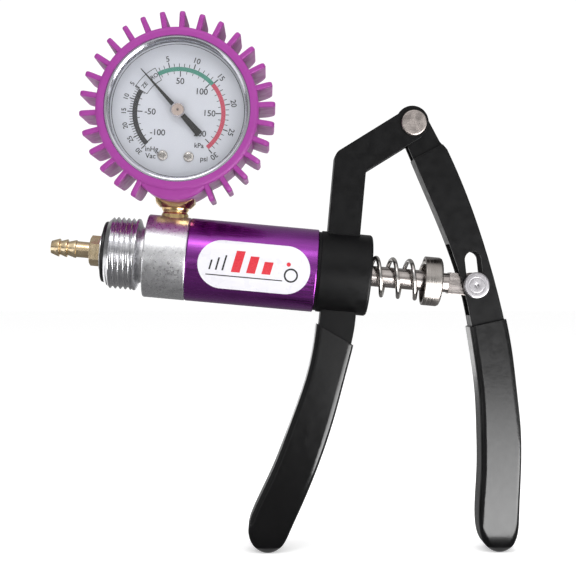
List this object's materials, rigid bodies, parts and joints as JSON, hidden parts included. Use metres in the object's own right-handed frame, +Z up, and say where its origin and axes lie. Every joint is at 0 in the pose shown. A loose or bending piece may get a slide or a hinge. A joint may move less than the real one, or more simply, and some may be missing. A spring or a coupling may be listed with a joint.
{
  "type": "hand vacuum pump",
  "caption": "Hand vacuum pump with squeeze lever, sprung piston rod, threaded front collar with hose barb, and a dial gauge in a finned boot.",
  "frame": {"origin": "centre of the front face of the threaded collar, on the cylinder axis", "axes": "+X along the cylinder from the collar to the lever, +Z up to the gauge, +Y away from the dial"},
  "size_m": [0.1772, 0.033, 0.1887],
  "materials": {
    "brass": "machined",
    "bronze": "sintered",
    "head_aluminium": "satin, fine mottled",
    "anodised_purple": "anodised, satin",
    "black_rubber": "matt",
    "label_film": "printed film",
    "cap_plastic": "matt",
    "black_steel": "satin black",
    "grip_vinyl": "glossy dipped",
    "polished_steel": "polished",
    "pin_steel": "turned",
    "spring_steel": "bright drawn",
    "chrome": "polished",
    "clear_lens": "clear",
    "dial_white": "printed, satin",
    "pointer_black": "matt",
    "case_steel": "satin black",
    "boot_purple": "satin rubber",
    "piston_plastic": "moulded"
  },
  "bodies": {
    "pump": {"hose_barb": "brass", "barb_washer": "head_aluminium", "front_gasket": "black_rubber", "cylinder_head": "head_aluminium", "valve_retainer": "brass", "inlet_valve_spring": "spring_steel", "head_o_ring": "black_rubber", "cap_o_ring": "black_rubber", "barrel_tube": "anodised_purple", "barrel_label": "label_film", "rear_cap": "cap_plastic", "rod_bush": "bronze", "return_spring": "spring_steel", "fixed_handle": "black_steel", "fixed_grip": "grip_vinyl", "pivot_pin": "pin_steel", "pivot_clip": "pin_steel", "gauge_socket": "brass", "gauge_case": "case_steel", "gauge_bezel": "chrome", "gauge_window": "clear_lens", "gauge_dial": "dial_white", "dial_screws": "pin_steel", "movement_frame": "brass", "bourdon_tube": "bronze", "movement_link": "brass", "hairspring": "bronze", "gauge_boot": "boot_purple"},
    "rod": {"piston_rod": "polished_steel", "piston": "piston_plastic", "piston_seals": "black_rubber", "piston_nut": "pin_steel", "exhaust_keeper": "pin_steel", "spring_cup": "polished_steel", "rod_pin": "pin_steel", "rod_pin_clip": "pin_steel"},
    "exhaust_disc": {"exhaust_valve": "black_rubber"},
    "inlet_poppet": {"inlet_valve": "brass"},
    "lever": {"lever": "black_steel", "lever_grip": "grip_vinyl"},
    "sector": {"sector_gear": "brass"},
    "pointer": {"pinion": "brass", "gauge_pointer": "pointer_black", "pointer_hub": "chrome"}
  },
  "joints": [
    {"name": "lever_squeeze", "type": "hinge", "parent": "pump", "child": "lever", "pos_m": [0.106, 0, 0.0561], "axis": [0, 1, 0], "range_deg": [0, 16.9], "stiffness_Nm_per_rad": 19.9, "springref_deg": -3.98},
    {"name": "piston_stroke", "type": "slide", "parent": "pump", "child": "rod", "axis": [-1, 0, 0], "range_m": [0, 0.017], "deforming": ["return_spring"]},
    {"name": "inlet_lift", "type": "slide", "parent": "pump", "child": "inlet_poppet", "axis": [1, 0, 0], "range_m": [0, 0.001], "stiffness_N_per_m": 50, "springref_m": -0.001, "deforming": ["inlet_valve_spring"]},
    {"name": "exhaust_lift", "type": "slide", "parent": "rod", "child": "exhaust_disc", "axis": [1, 0, 0], "range_m": [0, 0.001], "stiffness_N_per_m": 20, "springref_m": -0.0005},
    {"name": "sector_swing", "type": "hinge", "parent": "pump", "child": "sector", "pos_m": [0.03259, 0, 0.04482], "axis": [0, 1, 0], "range_deg": [-30, 15], "stiffness_Nm_per_rad": 0.0003},
    {"name": "pointer_spin", "type": "hinge", "parent": "pump", "child": "pointer", "pos_m": [0.02202, 0, 0.05168], "axis": [0, 1, 0], "range_deg": [-90, 180]}
  ],
  "couplings": [
    {"joint": "piston_stroke", "follows": "lever_squeeze", "m_per_rad": 0.05757},
    {"joint": "pointer_spin", "follows": "sector_swing", "ratio": -6}
  ]
}
